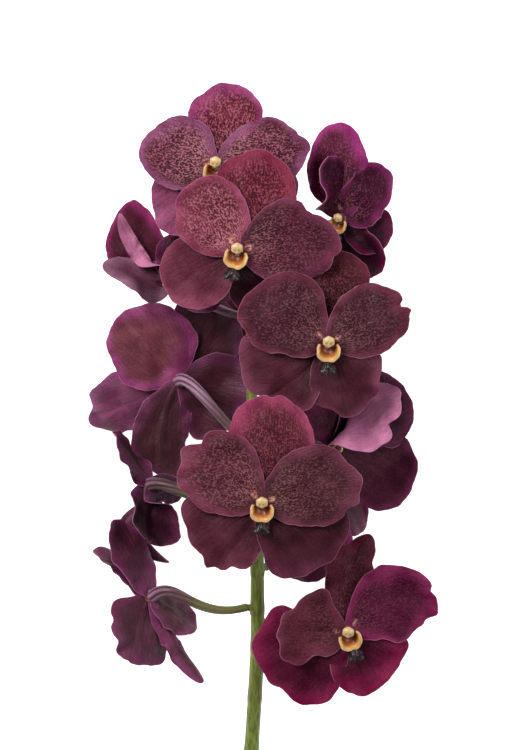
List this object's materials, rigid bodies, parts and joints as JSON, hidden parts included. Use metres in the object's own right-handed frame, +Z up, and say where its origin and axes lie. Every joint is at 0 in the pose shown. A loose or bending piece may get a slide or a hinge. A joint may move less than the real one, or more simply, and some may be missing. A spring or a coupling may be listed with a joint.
{
  "type": "cut vanda orchid",
  "caption": "Cut spray of a wine-red vanda orchid laid on its side: a green stem with round flat blooms, each with a lip, a column and a ribbed pedicel.",
  "frame": {"origin": "on the surface that the spray lies on, under the middle of its bounding box", "axes": "+Y along the stem to the tip of the spray, +X to the right seen from above, +Z up from the surface"},
  "size_m": [0.1806, 0.4025, 0.1016],
  "materials": {
    "stem": "satin",
    "tepal": "satin",
    "lip": "satin",
    "column": "satin",
    "pedicel": "satin"
  },
  "bodies": {
    "root": {"flower_stem": "stem", "bloom_01": "tepal", "lip_01": "lip", "column_01": "column", "pedicel_01": "pedicel", "bloom_02": "tepal", "lip_02": "lip", "column_02": "column", "pedicel_02": "pedicel", "bloom_03": "tepal", "lip_03": "lip", "column_03": "column", "pedicel_03": "pedicel", "bloom_04": "tepal", "lip_04": "lip", "column_04": "column", "pedicel_04": "pedicel", "bloom_05": "tepal", "lip_05": "lip", "column_05": "column", "pedicel_05": "pedicel", "bloom_06": "tepal", "lip_06": "lip", "column_06": "column", "pedicel_06": "pedicel", "bloom_07": "tepal", "lip_07": "lip", "column_07": "column", "pedicel_07": "pedicel", "bloom_08": "tepal", "lip_08": "lip", "column_08": "column", "pedicel_08": "pedicel", "bloom_09": "tepal", "lip_09": "lip", "column_09": "column", "pedicel_09": "pedicel", "bloom_10": "tepal", "lip_10": "lip", "column_10": "column", "pedicel_10": "pedicel", "bloom_11": "tepal", "lip_11": "lip", "column_11": "column", "pedicel_11": "pedicel", "bloom_12": "tepal", "lip_12": "lip", "column_12": "column", "pedicel_12": "pedicel", "bloom_13": "tepal", "lip_13": "lip", "column_13": "column", "pedicel_13": "pedicel"}
  },
  "joints": []
}
